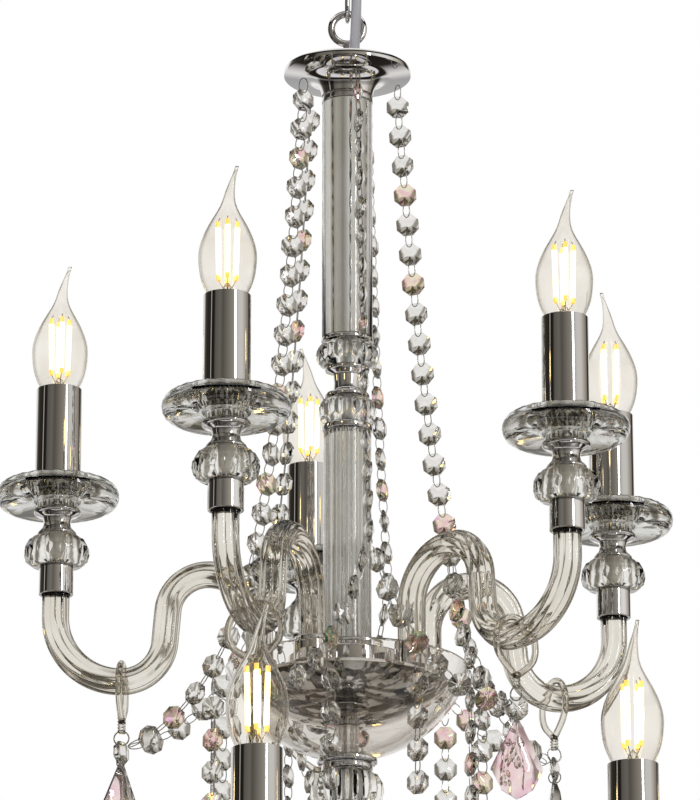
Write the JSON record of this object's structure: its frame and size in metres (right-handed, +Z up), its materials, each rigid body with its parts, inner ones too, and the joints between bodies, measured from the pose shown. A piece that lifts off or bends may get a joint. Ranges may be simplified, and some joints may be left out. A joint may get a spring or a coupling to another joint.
{
  "type": "crystal chandelier",
  "caption": "Two-tier candle chandelier: swept glass arms, cut drip pans, flame bulbs, bead strands and pendants on a chrome and glass column.",
  "frame": {"origin": "centre of the fixing plate's top face, on the ceiling", "axes": "+Z up along the column and out of the plate's top face; -Y is the front that the picture shows; X runs along the fixing plate"},
  "size_m": [0.7994, 0.8026, 1.177],
  "materials": {
    "chrome": "polished",
    "crystal": "cut and polished",
    "arm_glass": "fluted, clear",
    "bowl_glass": "clear",
    "sleeve_glass": "clear, fluted inside",
    "candle_chrome": "dark polished",
    "bulb_glass": "clear",
    "plate_steel": "zinc plated",
    "chain_chrome": "polished",
    "cable_sheath": "clear sheath over twin wire",
    "holder_plastic": "moulded",
    "wire_silver": "cut beads on wire links",
    "rod_steel": "plain",
    "pink_crystal": "cut, pale pink sheen"
  },
  "bodies": {
    "ceiling_mount": {"fixing_plate": "plate_steel", "lock_nut": "plate_steel", "canopy": "chrome", "canopy_eye": "chrome"},
    "chain": {"chain_links": "chain_chrome", "supply_cable": "cable_sheath"},
    "chandelier": {"top_eye": "chrome", "top_disc": "chrome", "column_glass_sleeves": "sleeve_glass", "column_core_tubes": "chrome", "column_rings": "chrome", "column_crystal_balls": "crystal", "waist_spool": "chrome", "hub_drums": "chrome", "arm_plates": "chrome", "hub_cups": "chrome", "bowl_stems": "chrome", "upper_bowl": "bowl_glass", "lower_bowl": "bowl_glass", "bowl_flanges": "chrome", "finial_ball": "crystal", "finial_cap": "chrome", "tie_rod": "rod_steel", "upper_candle_tubes": "candle_chrome", "lower_candle_tubes": "candle_chrome", "upper_drip_pans": "crystal", "lower_drip_pans": "crystal", "upper_candle_spools": "chrome", "lower_candle_spools": "chrome", "upper_crystal_gems": "crystal", "lower_crystal_gems": "crystal", "arm_ferrules": "chrome", "lamp_holders": "holder_plastic", "upper_arms": "arm_glass", "lower_arms": "arm_glass", "arm_feet": "chrome", "bead_strands": "wire_silver", "strand_drops": "wire_silver", "arm_loops": "arm_glass"},
    "bulb_01": {"bulb_01": "bulb_glass"},
    "bulb_02": {"bulb_02": "bulb_glass"},
    "bulb_03": {"bulb_03": "bulb_glass"},
    "bulb_04": {"bulb_04": "bulb_glass"},
    "bulb_05": {"bulb_05": "bulb_glass"},
    "bulb_06": {"bulb_06": "bulb_glass"},
    "bulb_07": {"bulb_07": "bulb_glass"},
    "bulb_08": {"bulb_08": "bulb_glass"},
    "bulb_09": {"bulb_09": "bulb_glass"},
    "bulb_10": {"bulb_10": "bulb_glass"},
    "bulb_11": {"bulb_11": "bulb_glass"},
    "bulb_12": {"bulb_12": "bulb_glass"},
    "bulb_13": {"bulb_13": "bulb_glass"},
    "bulb_14": {"bulb_14": "bulb_glass"},
    "bulb_15": {"bulb_15": "bulb_glass"},
    "pendant_1": {"pendant_1": "pink_crystal"},
    "pendant_2": {"pendant_2": "pink_crystal"},
    "pendant_3": {"pendant_3": "pink_crystal"},
    "pendant_4": {"pendant_4": "pink_crystal"},
    "pendant_5": {"pendant_5": "pink_crystal"}
  },
  "joints": [
    {"name": "swing_front", "type": "hinge", "parent": "ceiling_mount", "child": "chain", "pos_m": [0, 0, -0.0688], "axis": [1, 0, 0], "range_deg": [-10, 10]},
    {"name": "swing_side", "type": "hinge", "parent": "chain", "child": "chandelier", "pos_m": [0, 0, -0.16015], "axis": [0, 1, 0], "range_deg": [-10, 10], "deforming": ["supply_cable"]},
    {"name": "bulb_01_screw", "type": "hinge", "parent": "chandelier", "child": "bulb_01", "pos_m": [-0.07631, -0.17804, -0.42], "axis": [0, 0, 1], "range_deg": [0, 1800]},
    {"name": "bulb_02_screw", "type": "hinge", "parent": "chandelier", "child": "bulb_02", "pos_m": [0.14004, -0.13382, -0.42], "axis": [0, 0, 1], "range_deg": [0, 1800]},
    {"name": "bulb_03_screw", "type": "hinge", "parent": "chandelier", "child": "bulb_03", "pos_m": [0.17908, 0.07381, -0.42], "axis": [0, 0, 1], "range_deg": [0, 1800]},
    {"name": "bulb_04_screw", "type": "hinge", "parent": "chandelier", "child": "bulb_04", "pos_m": [-0.02696, 0.19182, -0.42], "axis": [0, 0, 1], "range_deg": [0, 1800]},
    {"name": "bulb_05_screw", "type": "hinge", "parent": "chandelier", "child": "bulb_05", "pos_m": [-0.19299, 0.01655, -0.42], "axis": [0, 0, 1], "range_deg": [0, 1800]},
    {"name": "bulb_06_screw", "type": "hinge", "parent": "chandelier", "child": "bulb_06", "pos_m": [-0.05259, -0.36048, -0.7625], "axis": [0, 0, 1], "range_deg": [0, 1800]},
    {"name": "bulb_07_screw", "type": "hinge", "parent": "chandelier", "child": "bulb_07", "pos_m": [0.16934, -0.32255, -0.7625], "axis": [0, 0, 1], "range_deg": [0, 1800]},
    {"name": "bulb_08_screw", "type": "hinge", "parent": "chandelier", "child": "bulb_08", "pos_m": [0.32659, -0.16141, -0.7625], "axis": [0, 0, 1], "range_deg": [0, 1800]},
    {"name": "bulb_09_screw", "type": "hinge", "parent": "chandelier", "child": "bulb_09", "pos_m": [0.35909, 0.06138, -0.7625], "axis": [0, 0, 1], "range_deg": [0, 1800]},
    {"name": "bulb_10_screw", "type": "hinge", "parent": "chandelier", "child": "bulb_10", "pos_m": [0.25443, 0.26073, -0.7625], "axis": [0, 0, 1], "range_deg": [0, 1800]},
    {"name": "bulb_11_screw", "type": "hinge", "parent": "chandelier", "child": "bulb_11", "pos_m": [0.05259, 0.36048, -0.7625], "axis": [0, 0, 1], "range_deg": [0, 1800]},
    {"name": "bulb_12_screw", "type": "hinge", "parent": "chandelier", "child": "bulb_12", "pos_m": [-0.16934, 0.32255, -0.7625], "axis": [0, 0, 1], "range_deg": [0, 1800]},
    {"name": "bulb_13_screw", "type": "hinge", "parent": "chandelier", "child": "bulb_13", "pos_m": [-0.32659, 0.16141, -0.7625], "axis": [0, 0, 1], "range_deg": [0, 1800]},
    {"name": "bulb_14_screw", "type": "hinge", "parent": "chandelier", "child": "bulb_14", "pos_m": [-0.35909, -0.06138, -0.7625], "axis": [0, 0, 1], "range_deg": [0, 1800]},
    {"name": "bulb_15_screw", "type": "hinge", "parent": "chandelier", "child": "bulb_15", "pos_m": [-0.25443, -0.26073, -0.7625], "axis": [0, 0, 1], "range_deg": [0, 1800]},
    {"name": "pendant_1_swing", "type": "hinge", "parent": "chandelier", "child": "pendant_1", "pos_m": [-0.05858, -0.13667, -0.6764], "axis": [0.4509, -0.8926, 0], "range_deg": [-35, 35]},
    {"name": "pendant_2_swing", "type": "hinge", "parent": "chandelier", "child": "pendant_2", "pos_m": [0.10751, -0.10273, -0.6764], "axis": [0.994, 0.1097, 0], "range_deg": [-35, 35]},
    {"name": "pendant_3_swing", "type": "hinge", "parent": "chandelier", "child": "pendant_3", "pos_m": [0.13748, 0.05667, -0.6764], "axis": [0.3024, 0.9532, 0], "range_deg": [-35, 35]},
    {"name": "pendant_4_swing", "type": "hinge", "parent": "chandelier", "child": "pendant_4", "pos_m": [-0.0207, 0.14725, -0.6764], "axis": [-0.848, 0.5299, 0], "range_deg": [-35, 35]},
    {"name": "pendant_5_swing", "type": "hinge", "parent": "chandelier", "child": "pendant_5", "pos_m": [-0.14816, 0.0127, -0.6764], "axis": [-0.7059, -0.7083, 0], "range_deg": [-35, 35]}
  ]
}
